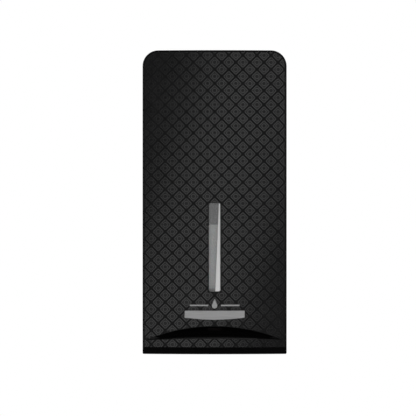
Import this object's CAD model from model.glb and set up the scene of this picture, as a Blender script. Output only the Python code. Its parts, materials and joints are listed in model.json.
"""Looks of the wall mounted soap dispenser: finishes, patterned faceplate, small detail, light and camera.

Metres, in the row's frame: +Z up, +X to the right seen from the front, -Y out of the wall.
"""

import json
import math

import bmesh
import bpy
from mathutils import Matrix, Vector


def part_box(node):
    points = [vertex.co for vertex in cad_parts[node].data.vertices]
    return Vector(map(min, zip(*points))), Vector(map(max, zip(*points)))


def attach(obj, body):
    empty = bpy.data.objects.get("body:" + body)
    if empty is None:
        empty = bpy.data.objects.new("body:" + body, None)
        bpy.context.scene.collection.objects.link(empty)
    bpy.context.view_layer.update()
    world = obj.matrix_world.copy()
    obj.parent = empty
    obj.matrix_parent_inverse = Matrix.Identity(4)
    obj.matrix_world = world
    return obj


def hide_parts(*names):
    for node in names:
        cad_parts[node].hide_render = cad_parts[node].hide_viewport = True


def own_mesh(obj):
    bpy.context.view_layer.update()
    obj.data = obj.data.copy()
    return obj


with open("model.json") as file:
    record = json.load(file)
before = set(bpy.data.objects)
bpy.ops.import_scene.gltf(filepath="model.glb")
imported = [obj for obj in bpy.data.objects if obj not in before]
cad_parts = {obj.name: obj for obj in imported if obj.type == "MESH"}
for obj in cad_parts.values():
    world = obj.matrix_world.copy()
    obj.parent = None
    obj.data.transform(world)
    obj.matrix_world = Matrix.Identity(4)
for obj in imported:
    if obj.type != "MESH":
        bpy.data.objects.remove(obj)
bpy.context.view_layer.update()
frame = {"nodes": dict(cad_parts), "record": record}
nodes = frame["nodes"]

MM = 0.001

# ---------------------------------------------------------------- sizes, from the frame
cover_low, cover_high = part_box("front_cover")
plate_low, plate_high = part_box("faceplate")
window_low, window_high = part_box("sight_window")
half_width = cover_high.x
bottom = cover_low.z
crown_front = cover_low.y
crown_rise = 5 * MM
crown_radius = (half_width**2 + crown_rise**2) / (2 * crown_rise)

plate_half = plate_high.x
plate_bottom, plate_top = plate_low.z, plate_high.z
plate_corner = 13.45 * MM
plate_thickness = 1.15 * MM

# The panel's opening is the clear strip without its flange, and a little play.
window_inset = 2.8 * MM
window_half = window_high.x - window_inset
window_base = window_low.z + window_inset
window_head = window_high.z - window_inset
window_corner = 2.0 * MM

# The crescent's two arcs share their ends; heights are above the cover's bottom edge.
crescent_half = 65.0 * MM
crescent_end, crescent_top, crescent_lip = 13.7 * MM, 26.7 * MM, 17.3 * MM
crescent_tip_start = 42.0 * MM    # beyond this the lip is polished black all over
# The lip under the crescent, as shares of the crescent's height at that place.
lip_drop, lip_radius, lip_length = 0.25, 0.42, 0.55

# Mosaic: diamond tiles with a groove between them, each with a ring and a stroke along each edge.
pattern_step = 6.775 * MM    # half the spacing of the rings in a row
pattern_origin = bottom + 260.0 * MM    # a lattice point between rings, on the centre line
groove_width = 1.5 * MM
ring_radius, stroke_width = 2.1 * MM, 0.8 * MM
stroke_length, stroke_offset = 6.4 * MM, 1.3 * MM
skin_depth, tile_depth, relief_depth = 0.16 * MM, 0.06 * MM, -0.03 * MM
sheet_thickness = 0.14 * MM
edge_margin, opening_margin = 0.35 * MM, 0.5 * MM    # bare border at the panel's edge and at its openings

merge_distance = 0.002 * MM
# How many points the panel's column has on the flat and the rolled part of the strip under the crescent.
flat_samples, roll_samples = 4, 8


def crown_y(x):
    """Y of the crowned front at x."""
    return crown_front + crown_radius - math.sqrt(crown_radius**2 - x**2)


def arc_height(x, middle):
    """Height above the bottom edge of a crescent arc at x, for the arc's height at the middle."""
    rise = middle - crescent_end
    radius = (crescent_half**2 + rise**2) / (2 * rise)
    x = min(abs(x), crescent_half)
    return middle - radius + math.sqrt(radius**2 - x**2)


def upper_arc(x):
    return bottom + arc_height(x, crescent_top)


def lower_arc(x):
    return bottom + arc_height(x, crescent_lip)


def lip_start(x):
    """Height at which the strip under the crescent starts to roll inward."""
    return lower_arc(x) - lip_drop * (upper_arc(x) - lower_arc(x))


# ---------------------------------------------------------------- shader helpers
class Finish:
    """A material made from nodes. Values that are the same all over go on the sockets."""

    def __init__(self, name, colour, roughness, **sockets):
        self.material = bpy.data.materials.new(name)
        self.material.use_nodes = True
        self.tree = self.material.node_tree
        self.shader = self.tree.nodes["Principled BSDF"]
        self.set(self.shader, {"Base Color": (*colour, 1.0), "Roughness": roughness})
        self.set(self.shader, sockets)
        self.place = self.tree.nodes.new("ShaderNodeTexCoord").outputs["Object"]

    def set(self, node, values):
        for name, value in values.items():
            node.inputs[name].default_value = value

    def node(self, kind, links=None, properties=None, **values):
        """Adds a node, with its linked inputs, properties and plain values."""
        made = self.tree.nodes.new(kind)
        for name, value in (properties or {}).items():
            setattr(made, name, value)
        self.set(made, {name.replace("_", " "): value for name, value in values.items()})
        for name, source in (links or {}).items():
            self.tree.links.new(source, made.inputs[name])
        return made

    def noise(self, scale, detail=4.0, stretch=(1.0, 1.0, 1.0), kind="ShaderNodeTexNoise"):
        """Noise value in object space, stretched along an axis where stretch is small."""
        mapping = self.node("ShaderNodeMapping", {"Vector": self.place})
        mapping.inputs["Scale"].default_value = stretch
        return self.node(kind, {"Vector": mapping.outputs[0]}, Scale=scale, Detail=detail).outputs[0]

    def between(self, value, low, high):
        """Maps a 0 to 1 value to a range."""
        return self.node("ShaderNodeMapRange", {"Value": value}, To_Min=low, To_Max=high).outputs[0]

    def colours(self, value, first, second, start=0.3, end=0.7):
        """Blends two colours along a value."""
        ramp = self.node("ShaderNodeValToRGB", {"Fac": value})
        ramp.color_ramp.elements[0].position = start
        ramp.color_ramp.elements[0].color = (*first, 1.0)
        ramp.color_ramp.elements[1].position = end
        ramp.color_ramp.elements[1].color = (*second, 1.0)
        return ramp.outputs["Color"]

    def to(self, socket, source):
        self.tree.links.new(source, self.shader.inputs[socket])

    def bump(self, value, strength, distance=0.1 * MM):
        """Adds a bump on top of any bump already there."""
        links = {"Height": value}
        old = self.shader.inputs["Normal"].links
        if old:
            links["Normal"] = old[0].from_socket
        made = self.node("ShaderNodeBump", links, Strength=strength, Distance=distance)
        self.to("Normal", made.outputs[0])

    def uneven(self, colour, spread, scale):
        """Slight change of colour over the surface."""
        dark = tuple(c * (1 - spread) for c in colour)
        light = tuple(min(1.0, c * (1 + spread)) for c in colour)
        self.to("Base Color", self.colours(self.noise(scale), dark, light))


def moulded(name, colour, roughness, grain=900.0, grain_strength=0.25, spread=0.12, **sockets):
    """Moulded plastic: fine spark-eroded grain, faint flow marks and handling gloss."""
    made = Finish(name, colour, roughness, **sockets)
    made.uneven(colour, spread, 26.0)
    made.to("Roughness", made.between(made.noise(40.0, 6.0), roughness * 0.82, roughness * 1.18))
    made.bump(made.noise(grain, 3.0), grain_strength, 0.05 * MM)
    made.bump(made.noise(14.0, 2.0), 0.08, 0.4 * MM)
    return made.material


def glossy_black():
    """Polished black cover: faint orange peel, hairline wipe marks and a little dust in the gloss."""
    colour = (0.002, 0.002, 0.0021)
    made = Finish("polished_black", colour, 0.24, **{"Specular IOR Level": 0.3})
    made.uneven(colour, 0.25, 18.0)
    wipes = made.noise(260.0, 5.0, (1.0, 1.0, 0.06))
    made.to("Roughness", made.between(wipes, 0.18, 0.3))
    made.bump(made.noise(120.0, 2.0), 0.05, 0.06 * MM)
    return made.material


def panel_black(name, low, high, specular, patches=60.0, marks=90.0):
    """Black of the faceplate: roughness from low to high, and how strongly it mirrors."""
    colour = (0.0125, 0.0125, 0.0127)
    made = Finish(name, colour, (low + high) / 2, **{"Specular IOR Level": specular})
    made.uneven(colour, 0.2, patches)
    made.to("Roughness", made.between(made.noise(marks, 5.0), low, high))
    return made


def panel_ground():
    """Tiles: satin black with a very fine grain."""
    made = panel_black("panel_ground", 0.18, 0.2, 0.3, patches=30.0, marks=70.0)
    made.bump(made.noise(2600.0, 2.0), 0.2, 0.03 * MM)
    return made.material


def panel_groove():
    """Grooves between the tiles: dull, so they stay dark beside the tiles' highlight."""
    return panel_black("panel_groove", 0.55, 0.65, 0.08).material


def panel_relief():
    """Raised strokes and rings: glossier than the tiles, so they catch the light more sharply."""
    return panel_black("panel_relief", 0.175, 0.185, 0.85).material


def plated(name, colour, roughness, scale=420.0, stretch=(1.0, 1.0, 1.0), bump=0.1):
    """Plated or brushed metal with fine marks and slight tarnish."""
    made = Finish(name, colour, roughness, Metallic=1.0)
    made.uneven(colour, 0.1, 55.0)
    marks = made.noise(scale, 6.0, stretch)
    made.to("Roughness", made.between(marks, roughness * 0.7, roughness * 1.4))
    made.bump(marks, bump, 0.02 * MM)
    return made.material


def smoked_clear():
    """Hazy clear strip: mostly see-through, with a soft grey body and a polished face."""
    colour = (0.82, 0.82, 0.825)
    made = Finish("smoked_clear", colour, 0.1, Alpha=0.15)
    made.to("Roughness", made.between(made.noise(120.0, 5.0, (1.0, 1.0, 0.1)), 0.06, 0.15))
    made.uneven(colour, 0.06, 40.0)
    return made.material


def lens_facet():
    """Frosted facet down the right of the clear strip: brighter towards its wide lower end."""
    made = Finish("lens_facet", (0.45, 0.45, 0.45), 0.3)
    height = made.node("ShaderNodeSeparateXYZ", {"Vector": made.place}).outputs["Z"]
    share = made.node("ShaderNodeMapRange", {"Value": height}, From_Min=window_base, From_Max=window_head)
    made.to("Base Color", made.colours(share.outputs[0], (0.90, 0.90, 0.90), (0.76, 0.76, 0.76), 0.0, 1.0))
    made.to("Roughness", made.between(made.noise(300.0, 4.0), 0.25, 0.38))
    return made.material


def frosted_clear(name, colour, alpha, roughness=0.35, scale=60.0):
    """Frosted or blow-moulded clear plastic with slight thickness changes."""
    made = Finish(name, colour, roughness)
    made.uneven(colour, 0.05, scale / 2)
    made.to("Alpha", made.between(made.noise(scale / 3), alpha - 0.06, alpha + 0.06))
    made.to("Roughness", made.between(made.noise(scale, 5.0), roughness * 0.8, roughness * 1.2))
    made.bump(made.noise(scale / 2, 3.0), 0.15, 0.3 * MM)
    return made.material


def liquid_soap():
    """Pearly hand soap: milky body with a slow swirl."""
    colour = (0.80, 0.81, 0.80)
    made = Finish("pearly_soap", colour, 0.22, **{"Subsurface Weight": 0.3, "Subsurface Scale": 0.004})
    swirl = made.noise(34.0, 8.0, (1.0, 1.0, 0.45))
    made.to("Base Color", made.colours(swirl, (0.74, 0.75, 0.745), (0.86, 0.865, 0.86)))
    made.to("Roughness", made.between(swirl, 0.16, 0.3))
    return made.material


def badge_foil():
    """Satin foil: fine horizontal brushing."""
    colour = (0.45, 0.45, 0.452)
    made = Finish("badge_foil", colour, 0.5, Metallic=0.12)
    brushing = made.noise(1500.0, 5.0, (0.03, 1.0, 1.0))
    made.to("Base Color", made.colours(brushing, (0.40, 0.40, 0.402), (0.50, 0.50, 0.503)))
    made.to("Roughness", made.between(brushing, 0.42, 0.58))
    made.bump(brushing, 0.12, 0.02 * MM)
    return made.material


def solder_mask():
    """Green board with buried traces and a woven glass texture."""
    made = Finish("solder_mask", (0.012, 0.10, 0.045), 0.3, **{"Coat Weight": 0.4, "Coat Roughness": 0.2})
    traces = made.node(
        "ShaderNodeTexBrick",
        {"Vector": made.place},
        {"offset": 0.5},
        Scale=210.0,
        Mortar_Size=0.025,
        Color1=(0.010, 0.085, 0.04, 1.0),
        Color2=(0.012, 0.10, 0.045, 1.0),
        Mortar=(0.03, 0.19, 0.085, 1.0),
    )
    made.to("Base Color", traces.outputs["Color"])
    made.bump(traces.outputs["Fac"], 0.3, 0.04 * MM)
    made.bump(made.noise(1800.0), 0.08, 0.02 * MM)
    return made.material


def cell_sleeve():
    """Plain shrink sleeve of a dry cell: dark body with one pale band towards the positive end."""
    made = Finish("cell_sleeve", (0.02, 0.035, 0.09), 0.28, Metallic=0.3, **{"Coat Weight": 0.5})
    split = made.node("ShaderNodeSeparateXYZ", {"Vector": made.place}).outputs["X"]
    cells = made.node("ShaderNodeMath", {0: split}, {"operation": "PINGPONG"})
    cells.inputs[1].default_value = 0.0255
    band = made.node("ShaderNodeMath", {0: cells.outputs[0]}, {"operation": "GREATER_THAN"})
    band.inputs[1].default_value = 0.019
    made.to("Base Color", made.colours(band.outputs[0], (0.02, 0.035, 0.09), (0.52, 0.43, 0.25)))
    made.to("Roughness", made.between(made.noise(80.0, 5.0), 0.2, 0.36))
    made.bump(made.noise(300.0, 3.0), 0.06, 0.05 * MM)
    return made.material


def soft_rubber(name, colour, roughness):
    """Matt rubber or wire insulation with a faint bloom."""
    made = Finish(name, colour, roughness, **{"Sheen Weight": 0.15})
    made.uneven(colour, 0.2, 90.0)
    made.to("Roughness", made.between(made.noise(160.0, 5.0), roughness * 0.88, roughness * 1.1))
    made.bump(made.noise(1200.0, 3.0), 0.15, 0.04 * MM)
    return made.material


def acetal(name, colour):
    """Waxy natural acetal or polypropylene."""
    made = Finish(name, colour, 0.42, **{"Subsurface Weight": 0.12, "Subsurface Scale": 0.002})
    made.uneven(colour, 0.05, 120.0)
    made.to("Roughness", made.between(made.noise(200.0, 5.0), 0.36, 0.5))
    made.bump(made.noise(700.0, 3.0), 0.12, 0.04 * MM)
    return made.material


def infrared_dark():
    """Nearly black plastic that infrared light passes through."""
    return moulded(
        "infrared_window", (0.0025, 0.001, 0.0012), 0.5, grain_strength=0.1, **{"Specular IOR Level": 0.15}
    )


finishes = {
    "cover_black": glossy_black(),
    "mosaic_black": panel_ground(),
    "smoke_clear": smoked_clear(),
    "badge_satin": badge_foil(),
    "lens_clear": frosted_clear("frosted_lens", (0.62, 0.66, 0.68), 0.55, 0.3),
    "lock_chrome": plated("lock_chrome", (0.62, 0.62, 0.64), 0.16, 900.0, (1.0, 1.0, 0.2)),
    "steel": plated("zinc_steel", (0.52, 0.53, 0.55), 0.3, 500.0, (1.0, 0.15, 1.0), 0.15),
    "rubber_black": soft_rubber("bumper_rubber", (0.012, 0.012, 0.012), 0.75),
    "housing_grey": moulded("housing_plastic", (0.115, 0.12, 0.125), 0.5, 1100.0, 0.35),
    "chassis_black": moulded("chassis_plastic", (0.014, 0.014, 0.015), 0.45, 1000.0, 0.3),
    "ir_dark": infrared_dark(),
    "board_green": solder_mask(),
    "parts_black": moulded("package_plastic", (0.013, 0.013, 0.014), 0.5, 1500.0, 0.25),
    "bottle_clear": frosted_clear("bottle_plastic", (0.74, 0.77, 0.78), 0.07, 0.32),
    "soap_white": liquid_soap(),
    "cap_white": acetal("cap_white", (0.70, 0.70, 0.685)),
    "pump_natural": acetal("pump_acetal", (0.66, 0.655, 0.61)),
    "seal_grey": soft_rubber("silicone_seal", (0.16, 0.16, 0.165), 0.6),
    "gear_white": acetal("gear_acetal", (0.72, 0.70, 0.62)),
    "brass": plated("brass", (0.62, 0.44, 0.18), 0.28, 700.0),
    "gearbox_grey": moulded("gearbox_nylon", (0.23, 0.24, 0.25), 0.48, 800.0, 0.3),
    "battery_sleeve": cell_sleeve(),
    "wire_red": soft_rubber("wire_insulation", (0.26, 0.012, 0.012), 0.42),
    "switch_white": acetal("switch_white", (0.62, 0.62, 0.60)),
}

slot_of_node = {entry["node"]: entry["material_slot"] for entry in frame["record"]["subparts"]}
for node_name, node in nodes.items():
    node.data.materials.clear()
    node.data.materials.append(finishes[slot_of_node[node_name]])


# ---------------------------------------------------------------- mesh helpers
def new_piece(name, mesh, body, slot_name, material=None):
    """Makes an object of a mesh that rides on a body and takes a slot's finish."""
    piece = bpy.data.objects.new(name, mesh)
    bpy.context.scene.collection.objects.link(piece)
    mesh.materials.append(material or finishes[slot_name])
    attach(piece, body)
    return piece


def finish_mesh(bm, name, sharp_degrees=35.0):
    """Turns a bmesh into a mesh with smooth faces and sharp edges kept sharp."""
    bmesh.ops.remove_doubles(bm, verts=bm.verts, dist=1e-7)
    bmesh.ops.recalc_face_normals(bm, faces=bm.faces)
    limit = math.radians(sharp_degrees)
    for face in bm.faces:
        face.smooth = True
    for edge in bm.edges:
        edge.smooth = len(edge.link_faces) == 2 and edge.calc_face_angle(0.0) < limit
    mesh = bpy.data.meshes.new(name)
    bm.to_mesh(mesh)
    bm.free()
    return mesh


# ---------------------------------------------------------------- faceplate
def column_places():
    """X of the panel's columns: close enough for the crown, with the corners and edges on a column."""
    keys = [0.0, plate_half]
    for step in range(7):
        turn = math.radians(15 * step)
        keys.append(window_half - window_corner * (1 - math.sin(turn)))
        keys.append(plate_half - plate_corner * (1 - math.sin(turn)))
    keys += [crescent_half - 1.2 * MM * k for k in range(6)]
    spacing = 2.4 * MM
    between = [spacing * k for k in range(1, int(plate_half / spacing))]
    between = [x for x in between if all(abs(x - key) > MM / 2 for key in keys)]
    ordered = sorted(set(keys + between))
    return [-x for x in reversed(ordered[1:])] + ordered


def corner_drop(x, edge, radius):
    """How far a rounded corner drops from its straight edge at x."""
    inside = abs(x) - (edge - radius)
    if inside <= 0:
        return 0.0
    return radius - math.sqrt(max(radius**2 - min(inside, radius) ** 2, 0.0))


def spaced(start, end, count):
    return [start + (end - start) * k / (count - 1) for k in range(count)]


def strip_column(x):
    """Points of the strip under the crescent at x, as (depth behind the crown, z). Its top rolls inward."""
    gap = max(upper_arc(x) - lower_arc(x), 0.0)
    start = lip_start(x)
    points = [(0.0, z) for z in spaced(plate_bottom, start, flat_samples)]
    radius, arc_length = lip_radius * gap, lip_length * gap
    for k in range(1, roll_samples):
        turn = (arc_length / radius) * k / (roll_samples - 1) if radius > 0 else 0.0
        points.append((radius * (1 - math.cos(turn)), start + radius * math.sin(turn)))
    return points


def panel_runs(x):
    """The panel's four runs of points at x: strip, crescent to window, beside the window, and above."""
    drop = corner_drop(x, window_half, window_corner)
    low, high = window_base + drop, window_head - drop
    top = plate_top - corner_drop(x, plate_half, plate_corner)
    return [
        strip_column(x),
        [(0.0, z) for z in spaced(upper_arc(x), low, 6)],
        [(0.0, z) for z in spaced(low, high, 6)],
        [(0.0, z) for z in spaced(high, top, 8)],
    ]


def build_panel():
    """Thin crowned panel with the window and the crescent left open.

    Its faces use material 0, and on the roll under the crescent 1, then 2 deeper in.
    """
    bm = bmesh.new()
    columns = []
    for x in column_places():
        runs = []
        for run in panel_runs(x):
            runs.append([bm.verts.new((x, crown_y(x) + skin_depth + depth, z)) for depth, z in run])
        columns.append((x, runs))
    for (x0, left), (x1, right) in zip(columns, columns[1:]):
        beside_window = min(abs(x0), abs(x1)) >= window_half - 1e-9
        for index, (run0, run1) in enumerate(zip(left, right)):
            if index == 2 and not beside_window:
                continue
            for k in range(len(run0) - 1):
                face = bm.faces.new((run0[k], run1[k], run1[k + 1], run0[k + 1]))
                if index == 0 and k >= flat_samples - 1:
                    near_tip = max(abs(x0), abs(x1)) > crescent_tip_start
                    face.material_index = 2 if near_tip or k > flat_samples else 1
    bmesh.ops.remove_doubles(bm, verts=bm.verts, dist=merge_distance)
    bmesh.ops.dissolve_degenerate(bm, edges=bm.edges, dist=merge_distance / 2)
    bmesh.ops.recalc_face_normals(bm, faces=bm.faces)
    front = max(bm.faces, key=lambda f: f.calc_area())
    if front.normal.y > 0:
        bmesh.ops.reverse_faces(bm, faces=bm.faces)
    bmesh.ops.solidify(bm, geom=bm.faces, thickness=plate_thickness)
    return finish_mesh(bm, "faceplate_skin", 50.0)


def clip(polygon, point, normal):
    """Part of a flat polygon on the side of a line that normal points away from."""
    kept = []
    for k, here in enumerate(polygon):
        there = polygon[(k + 1) % len(polygon)]
        side_here = (here[0] - point[0]) * normal[0] + (here[1] - point[1]) * normal[1]
        side_there = (there[0] - point[0]) * normal[0] + (there[1] - point[1]) * normal[1]
        if side_here <= 0:
            kept.append(here)
        if (side_here < 0 < side_there) or (side_there < 0 < side_here):
            share = side_here / (side_here - side_there)
            kept.append((here[0] + (there[0] - here[0]) * share, here[1] + (there[1] - here[1]) * share))
    return kept


def middle_of(polygon):
    return sum(p[0] for p in polygon) / len(polygon), sum(p[1] for p in polygon) / len(polygon)


def clip_to_edges(polygon):
    """Cuts a small polygon back to the panel's outline, with its upper corners."""
    for point, normal in (
        ((plate_half - edge_margin, 0), (1, 0)),
        ((-plate_half + edge_margin, 0), (-1, 0)),
        ((0, plate_top - edge_margin), (0, 1)),
        ((0, plate_bottom + edge_margin), (0, -1)),
    ):
        polygon = clip(polygon, point, normal)
    if not polygon:
        return polygon
    x, z = middle_of(polygon)
    centre_x, centre_z = math.copysign(plate_half - plate_corner, x), plate_top - plate_corner
    if abs(x) > abs(centre_x) and z > centre_z:
        away = Vector((x - centre_x, z - centre_z)).normalized()
        reach = plate_corner - edge_margin
        polygon = clip(polygon, (centre_x + away.x * reach, centre_z + away.y * reach), away)
    return polygon


def clip_to_window(polygon, x, z):
    """Cuts a polygon, whose middle is at x, z, back to the side of the window that it lies on."""
    wide, low, high = window_half + opening_margin, window_base - opening_margin, window_head + opening_margin
    side = math.copysign(1.0, x)
    if abs(x) < wide and low < z < high:
        return []
    if low < z < high:
        return clip(polygon, (side * wide, 0), (-side, 0))
    if abs(x) < wide + ring_radius:
        return clip(polygon, (0, low if z < low else high), (0, 1 if z < low else -1))
    return polygon


def clip_to_crescent(polygon, x, z):
    """Cuts a polygon, whose middle is at x, z, back to above or below the crescent."""
    if not polygon or abs(x) > crescent_half + ring_radius:
        return polygon
    upper, lower = upper_arc(x) + opening_margin, lip_start(x) - 0.2 * MM
    if z >= upper:
        slope = (upper_arc(x + MM) - upper_arc(x - MM)) / (2 * MM)
        return clip(polygon, (x, upper), Vector((slope, -1)).normalized())
    if z <= lower:
        slope = (lip_start(x + MM) - lip_start(x - MM)) / (2 * MM)
        return clip(polygon, (x, lower), Vector((-slope, 1)).normalized())
    return [] if abs(x) < crescent_half else polygon


def clip_to_plate(polygon):
    """Cuts a small polygon back to the panel's outline and to the outside of its openings."""
    polygon = clip_to_edges(polygon)
    if not polygon:
        return polygon
    x, z = middle_of(polygon)
    return clip_to_crescent(clip_to_window(polygon, x, z), x, z)


def stroke_outline(x, z, turn):
    """Slim stroke with chamfered ends, centred at x, z and turned from the X axis."""
    half, side = stroke_length / 2, stroke_width / 2
    nose = side * 0.8
    outline = [
        (-half, -side + nose), (-half + nose, -side), (half - nose, -side), (half, -side + nose),
        (half, side - nose), (half - nose, side), (-half + nose, side), (-half, side - nose),
    ]
    c, s = math.cos(turn), math.sin(turn)
    return [(x + px * c - pz * s, z + px * s + pz * c) for px, pz in outline]


def ring_pieces(x, z, segments=20):
    """Quads that make up a flat ring."""
    inner, outer = ring_radius - stroke_width / 2, ring_radius + stroke_width / 2
    pieces = []
    for k in range(segments):
        a, b = 2 * math.pi * k / segments, 2 * math.pi * (k + 1) / segments
        corners = (inner, a), (outer, a), (outer, b), (inner, b)
        pieces.append([(x + r * math.cos(turn), z + r * math.sin(turn)) for r, turn in corners])
    return pieces


def tile_pieces(x, z, divisions=4):
    """Small diamonds that make up a tile, so that it follows the crown."""
    reach = pattern_step - groove_width / math.sqrt(2)
    shares = [k / divisions - 0.5 for k in range(divisions + 1)]
    corners = [[(x + (a - b) * reach, z + (a + b) * reach) for b in shares] for a in shares]
    return [
        [corners[i][k], corners[i + 1][k], corners[i + 1][k + 1], corners[i][k + 1]]
        for i in range(divisions) for k in range(divisions)
    ]


def lattice():
    """Every point of the mosaic's lattice, and whether a tile is centred there."""
    columns = int(plate_half / pattern_step) + 1
    lowest = -int((pattern_origin - plate_bottom) / pattern_step) - 1
    highest = int((plate_top - pattern_origin) / pattern_step) + 1
    for row in range(lowest, highest + 1):
        for column in range(-columns, columns + 1):
            yield column * pattern_step, pattern_origin + row * pattern_step, (row + column) % 2 == 1


def sheet_of(polygons, depth, name):
    """Thin crowned sheet made of small flat polygons, clipped to the panel, at a depth behind the crown."""
    bm = bmesh.new()
    smallest_area = (0.03 * MM) ** 2
    for polygon in map(clip_to_plate, polygons):
        following = polygon[1:] + polygon[:1]
        area = sum(a[0] * b[1] - b[0] * a[1] for a, b in zip(polygon, following)) / 2
        if abs(area) > smallest_area:
            bm.faces.new([bm.verts.new((x, crown_y(x) + depth, z)) for x, z in polygon])
    bmesh.ops.remove_doubles(bm, verts=bm.verts, dist=merge_distance)
    bmesh.ops.dissolve_degenerate(bm, edges=bm.edges, dist=merge_distance)
    for face in bm.faces:
        face.normal_update()
        if face.normal.y > 0:
            face.normal_flip()
    made = bmesh.ops.extrude_face_region(bm, geom=list(bm.faces), use_keep_orig=True)["geom"]
    moved = [element for element in made if isinstance(element, bmesh.types.BMVert)]
    bmesh.ops.translate(bm, verts=moved, vec=(0, sheet_thickness, 0))
    return finish_mesh(bm, name, 30.0)


def tile_polygons():
    for x, z, centred in lattice():
        if centred:
            yield from tile_pieces(x, z)


def relief_polygons():
    """A ring on each tile, and two strokes across the groove from each other on each diamond edge."""
    for x, z, centred in lattice():
        if centred:
            yield from ring_pieces(x, z)
        turn = math.radians(-45 if centred else 45)
        for side in (-1, 1):
            shift_x = pattern_step / 2 - side * stroke_offset * math.sin(turn)
            shift_z = pattern_step / 2 + side * stroke_offset * math.cos(turn)
            yield stroke_outline(x + shift_x, z + shift_z, turn)


faceplate_skin = new_piece("faceplate_skin", build_panel(), "cover", "mosaic_black", panel_groove())
for roll_slot in ("mosaic_black", "cover_black"):
    faceplate_skin.data.materials.append(finishes[roll_slot])
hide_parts("faceplate")
new_piece("mosaic_tiles", sheet_of(tile_polygons(), tile_depth, "mosaic_tiles"), "cover", "mosaic_black")
new_piece(
    "mosaic_relief", sheet_of(relief_polygons(), relief_depth, "mosaic_relief"), "cover", "mosaic_black",
    panel_relief(),
)


# ---------------------------------------------------------------- badge with a bowed lower edge
def build_badge(bow=2.0 * MM, columns=25):
    """Thin plate on the crown, straight at the top and bowed at the bottom, with softened edges."""
    low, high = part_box("badge_plate")
    proud = crown_front - low.y
    bm = bmesh.new()
    rings = []
    for x in spaced(low.x, high.x, columns):
        base = low.z + bow * (x / high.x) ** 2
        front, back = crown_y(x) - proud, crown_y(x) + 0.1 * MM
        corners = (front, base), (front, high.z), (back, high.z), (back, base)
        rings.append([bm.verts.new((x, y, z)) for y, z in corners])
    for first, second in zip(rings, rings[1:]):
        for k in range(4):
            following = (k + 1) % 4
            bm.faces.new((first[k], second[k], second[following], first[following]))
    bm.faces.new(rings[0])
    bm.faces.new(list(reversed(rings[-1])))
    outline = [edge for edge in bm.edges if edge.calc_face_angle(0.0) > math.radians(60)]
    bmesh.ops.bevel(bm, geom=outline, offset=0.12 * MM, segments=2, affect="EDGES")
    return finish_mesh(bm, "badge_face")


badge_face = new_piece("badge_face", build_badge(), "cover", "badge_satin")
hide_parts("badge_plate")


# ---------------------------------------------------------------- facet down the right of the window
def build_facet():
    """Thin wedge on the window's face, narrow at the top, with the window's own right-hand corners."""
    edge, top, base = window_half - 0.35 * MM, window_head - 0.5 * MM, window_base + 0.5 * MM
    top_width, base_width, radius = 1.2 * MM, 4.6 * MM, 1.2 * MM
    turns = [math.radians(15 * k) for k in range(7)]
    outline = [(edge - base_width, base)]
    outline += [(edge - radius + radius * math.sin(t), base + radius - radius * math.cos(t)) for t in turns]
    outline += [(edge - radius + radius * math.cos(t), top - radius + radius * math.sin(t)) for t in turns]
    outline.append((edge - top_width, top))
    bm = bmesh.new()
    front, back = window_low.y - 0.08 * MM, window_low.y + 0.04 * MM
    rings = [[bm.verts.new((x, y, z)) for x, z in outline] for y in (front, back)]
    bm.faces.new(rings[0])
    bm.faces.new(list(reversed(rings[1])))
    for k in range(len(outline)):
        following = (k + 1) % len(outline)
        bm.faces.new((rings[0][following], rings[0][k], rings[1][k], rings[1][following]))
    return finish_mesh(bm, "window_facet")


new_piece("window_facet", build_facet(), "cover", "smoke_clear", lens_facet())


# ---------------------------------------------------------------- pump spring that squashes
def tube_along(points, radius, sides=10):
    """Closed tube mesh along points, in a bmesh."""
    bm = bmesh.new()
    rings = []
    for k, point in enumerate(points):
        ahead = points[min(k + 1, len(points) - 1)] - points[max(k - 1, 0)]
        ahead.normalize()
        side = ahead.cross(Vector((0, 0, 1))).normalized()
        up = side.cross(ahead).normalized()
        ring = []
        for n in range(sides):
            turn = 2 * math.pi * n / sides
            ring.append(bm.verts.new(point + side * radius * math.cos(turn) + up * radius * math.sin(turn)))
        rings.append(ring)
    for first, second in zip(rings, rings[1:]):
        for n in range(sides):
            following = (n + 1) % sides
            bm.faces.new((first[n], first[following], second[following], second[n]))
    bm.faces.new(list(reversed(rings[0])))
    bm.faces.new(rings[-1])
    return bm


def build_spring():
    """Return spring with closed end turns."""
    low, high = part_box("pump_spring")
    wire = 0.4 * MM
    centre = (low + high) / 2
    coil_radius = (high.x - low.x) / 2 - wire
    turns, samples, closing = 4.5, 26, 0.045    # closing: how much the end turns close up
    total = int(turns * samples)
    points = []
    for k in range(total + 1):
        share = k / total
        eased = share - closing * math.sin(2 * math.pi * share)
        turn = 2 * math.pi * turns * share
        height = low.z + wire + (high.z - low.z - 2 * wire) * eased
        points.append(Vector((
            centre.x + coil_radius * math.cos(turn), centre.y + coil_radius * math.sin(turn), height
        )))
    return finish_mesh(tube_along(points, wire), "return_spring", 60.0)


return_spring = new_piece("return_spring", build_spring(), "chassis", "steel")
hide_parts("pump_spring")
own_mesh(return_spring)


# ---------------------------------------------------------------- floor, light, camera
def stage_floor():
    """Pale floor below the dispenser."""
    mesh = bpy.data.meshes.new("pale_floor")
    side, front, height = 2.0, -0.9, -1.2
    corners = [(-side, front, height), (side, front, height), (side, side, height), (-side, side, height)]
    mesh.from_pydata(corners, [], [(0, 1, 2, 3)])
    floor = bpy.data.objects.new("pale_floor", mesh)
    bpy.context.scene.collection.objects.link(floor)
    made = Finish("pale_floor", (0.78, 0.78, 0.77), 0.8)
    made.uneven((0.78, 0.78, 0.77), 0.02, 3.0)
    mesh.materials.append(made.material)


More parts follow.
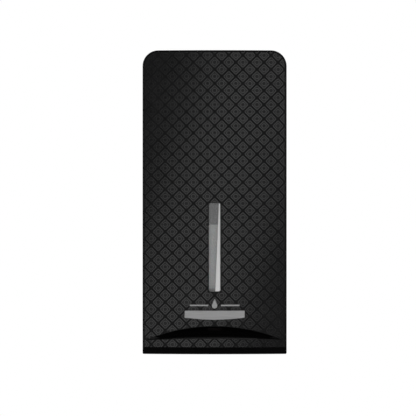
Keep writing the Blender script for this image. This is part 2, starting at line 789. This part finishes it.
def softbox(name, place, size, radiance, turn=0.0, in_gloss=True, in_diffuse=True):
    """Rectangular soft light that faces the object, turned about its own axis, of an even radiance."""
    light = bpy.data.lights.new(name, "AREA")
    light.shape = "RECTANGLE"
    light.size, light.size_y = size
    light.energy = radiance * math.pi * size[0] * size[1]
    holder = bpy.data.objects.new(name, light)
    bpy.context.scene.collection.objects.link(holder)
    facing = (-Vector(place)).to_track_quat("-Z", "Y").to_matrix().to_4x4()
    holder.matrix_world = Matrix.Translation(place) @ facing @ Matrix.Rotation(turn, 4, "Z")
    holder.visible_glossy = in_gloss
    holder.visible_diffuse = in_diffuse


def white_surround(fill):
    """White behind the object, and a dim even fill on it."""
    world = bpy.data.worlds.new("surround")
    bpy.context.scene.world = world
    world.use_nodes = True
    tree = world.node_tree
    background = tree.nodes["Background"]
    background.inputs["Color"].default_value = (1.0, 1.0, 1.0, 1.0)
    path = tree.nodes.new("ShaderNodeLightPath")
    strength = tree.nodes.new("ShaderNodeMapRange")
    strength.inputs["To Min"].default_value = fill
    strength.inputs["To Max"].default_value = 1.0
    tree.links.new(path.outputs["Is Camera Ray"], strength.inputs["Value"])
    tree.links.new(strength.outputs[0], background.inputs["Strength"])


stage_floor()
white_surround(0.03)
# The slanted strip that the panel mirrors as a band, and wide fills that only light diffuse surfaces.
softbox("band_light", (0, -3.0, -0.027), (2.6, 0.76), 0.6, math.radians(26))
softbox("fill_front", (0, -3.2, 0.3), (2.4, 2.4), 1.75, in_gloss=False)
softbox("fill_top", (0, -0.6, 3.0), (2.5, 2.0), 1.2, in_gloss=False)
softbox("fill_back", (0.5, 3.0, 0.8), (2.4, 2.0), 1.2, in_gloss=False)
# On each side, a fill with a dimmer light just in front of it for the gloss, and a sheen for the side walls.
for side_name, side in (("left", -1), ("right", 1)):
    softbox(f"fill_{side_name}", (2.5 * side, -1.95, -0.1), (1.7, 2.6), 1.1, in_gloss=False)
    softbox(f"glint_{side_name}", (2.4 * side, -1.87, -0.1), (1.7, 2.6), 0.6, in_diffuse=False)
    softbox(f"sheen_{side_name}", (2.6 * side, 1.4, 0.2), (3.4, 2.4), 0.35)

view_width = 399.2 * MM
lens, sensor = 200.0, 36.0
camera_data = bpy.data.cameras.new("camera")
camera_data.lens, camera_data.sensor_width = lens, sensor
camera = bpy.data.objects.new("camera", camera_data)
bpy.context.scene.collection.objects.link(camera)
distance = view_width * lens / sensor
camera.location = (-6.36 * MM, crown_front - distance, -5.54 * MM)
camera.rotation_euler = (math.radians(90), 0, 0)
camera_data.clip_end = 50.0
bpy.context.scene.camera = camera
bpy.context.scene.view_settings.view_transform = "Standard"
